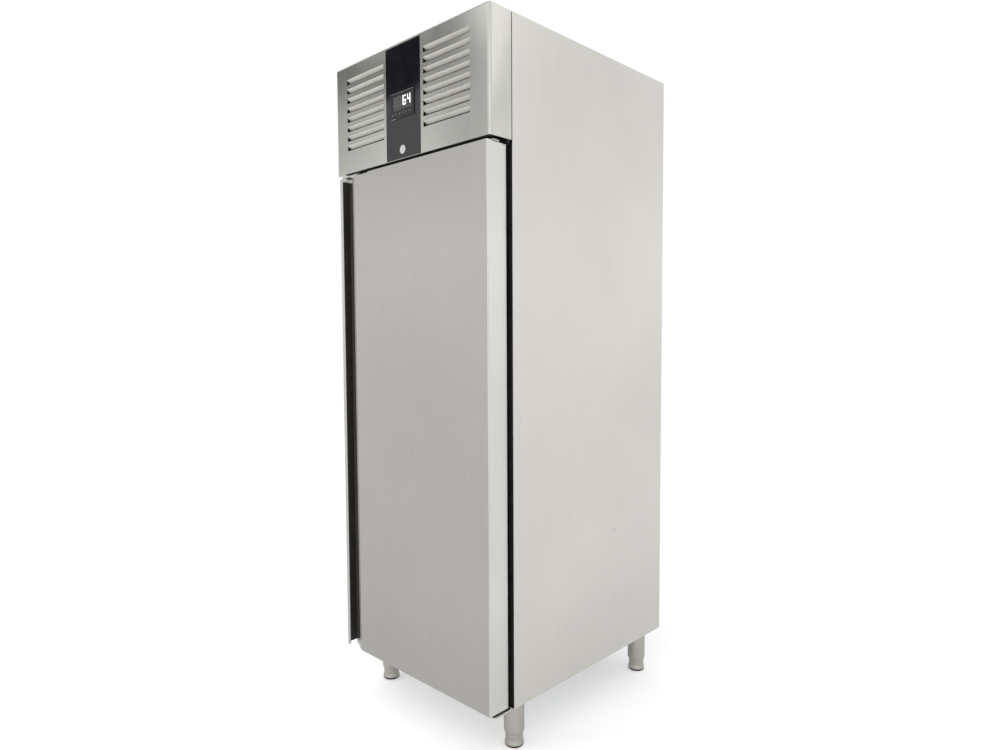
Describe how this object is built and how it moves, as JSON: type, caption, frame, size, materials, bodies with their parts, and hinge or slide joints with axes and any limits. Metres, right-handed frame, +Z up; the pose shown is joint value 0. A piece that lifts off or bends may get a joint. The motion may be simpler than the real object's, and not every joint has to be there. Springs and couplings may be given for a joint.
{
  "type": "commercial upright freezer",
  "caption": "Tall stainless-steel catering freezer on adjustable legs, with a solid hinged door, full-height grip channel and a louvred control fascia.",
  "frame": {"origin": "centre of the bounding box's footprint, on the floor under the feet", "axes": "+Z up; -Y out of the door, towards the person using it; +X towards the hinged side of the door, which is on the right for that person"},
  "size_m": [0.69, 0.833, 2.01],
  "materials": {
    "case_steel": "satin",
    "fascia_steel": "satin",
    "door_steel": "satin",
    "inner_steel": "satin",
    "leg_steel": "satin",
    "galvanised": "satin",
    "bracket_metal": "satin",
    "pin_steel": "satin",
    "wire_coat": "satin",
    "foam": "matt",
    "black_frame": "matt",
    "channel_black": "matt",
    "cap_grey": "matt",
    "grey_plastic": "matt",
    "nylon_black": "matt",
    "gasket_rubber": "matt",
    "mount_rubber": "matt",
    "fin_metal": "satin",
    "copper": "bright",
    "black_enamel": "gloss",
    "motor_metal": "satin",
    "fan_plastic": "matt",
    "strip_black": "gloss",
    "bezel_black": "satin",
    "window_grey": "gloss",
    "lit_white": "lit",
    "lock_chrome": "bright"
  },
  "bodies": {
    "cabinet": {"right_side_panel": "case_steel", "left_side_panel": "case_steel", "back_panel": "galvanised", "rear_grille": "galvanised", "base_panel": "galvanised", "machine_deck": "galvanised", "top_rail": "case_steel", "inner_liner": "inner_steel", "insulation_foam": "foam", "breaker_frame": "black_frame", "leg_sockets": "leg_steel", "hinge_brackets": "bracket_metal", "hinge_pins": "pin_steel", "cabinet_screws": "pin_steel", "shelf_pilasters": "inner_steel", "shelf_runners": "inner_steel", "shelf_lower": "wire_coat", "shelf_middle": "wire_coat", "shelf_upper": "wire_coat", "evaporator_coil": "fin_metal", "evaporator_cover": "inner_steel", "evaporator_fan_motor": "motor_metal", "evaporator_fan_guard": "fan_plastic", "drip_tray": "inner_steel", "drain_pipe": "grey_plastic", "unit_base_plate": "galvanised", "compressor": "black_enamel", "compressor_grommets": "mount_rubber", "terminal_box": "fan_plastic", "condenser_coil": "fin_metal", "condenser_fan_shroud": "galvanised", "condenser_fan_motor": "motor_metal", "filter_drier": "copper", "refrigerant_pipes": "copper", "junction_box": "grey_plastic", "mains_gland": "fan_plastic", "evaporation_tray": "grey_plastic"},
    "door": {"door_outer_skin": "door_steel", "door_inner_liner": "inner_steel", "door_foam": "foam", "door_gasket": "gasket_rubber", "handle_channel": "channel_black", "handle_lip": "door_steel", "door_end_caps": "cap_grey", "hinge_bushes": "nylon_black", "lock_keeper": "pin_steel"},
    "fascia": {"fascia_panel": "fascia_steel", "control_panel": "strip_black", "controller_module": "bezel_black", "display_window": "window_grey", "display_digits": "lit_white", "lock_housing": "lock_chrome"},
    "lock": {"lock_barrel": "lock_chrome", "lock_cam": "pin_steel"},
    "condenser_fan": {"condenser_fan_blades": "fan_plastic"},
    "evaporator_fan": {"evaporator_fan_blades": "fan_plastic"},
    "foot_front_left": {"foot_front_left": "leg_steel"},
    "foot_front_right": {"foot_front_right": "leg_steel"},
    "foot_rear_left": {"foot_rear_left": "leg_steel"},
    "foot_rear_right": {"foot_rear_right": "leg_steel"}
  },
  "joints": [
    {"name": "door_swing", "type": "hinge", "parent": "cabinet", "child": "door", "pos_m": [0.311, -0.3815, 0.91], "axis": [0, 0, 1], "range_deg": [0, 105], "stiffness_Nm_per_rad": 2, "springref_deg": -5.73},
    {"name": "fascia_swing", "type": "hinge", "parent": "cabinet", "child": "fascia", "pos_m": [0, -0.3435, 2.004], "axis": [-1, 0, 0], "range_deg": [0, 70]},
    {"name": "lock_turn", "type": "hinge", "parent": "fascia", "child": "lock", "pos_m": [-0.006, -0.4135, 1.706], "axis": [0, 1, 0], "range_deg": [0, 90]},
    {"name": "condenser_fan_spin", "type": "hinge", "parent": "cabinet", "child": "condenser_fan", "pos_m": [0, -0.2235, 1.792], "axis": [0, 1, 0], "continuous": true},
    {"name": "evaporator_fan_spin", "type": "hinge", "parent": "cabinet", "child": "evaporator_fan", "pos_m": [0, 0.0275, 1.536], "axis": [0, 1, 0], "continuous": true},
    {"name": "foot_front_left_height", "type": "slide", "parent": "cabinet", "child": "foot_front_left", "axis": [0, 0, -1], "range_m": [-0.017, 0.03]},
    {"name": "foot_front_right_height", "type": "slide", "parent": "cabinet", "child": "foot_front_right", "axis": [0, 0, -1], "range_m": [-0.017, 0.03]},
    {"name": "foot_rear_left_height", "type": "slide", "parent": "cabinet", "child": "foot_rear_left", "axis": [0, 0, -1], "range_m": [-0.017, 0.03]},
    {"name": "foot_rear_right_height", "type": "slide", "parent": "cabinet", "child": "foot_rear_right", "axis": [0, 0, -1], "range_m": [-0.017, 0.03]}
  ]
}
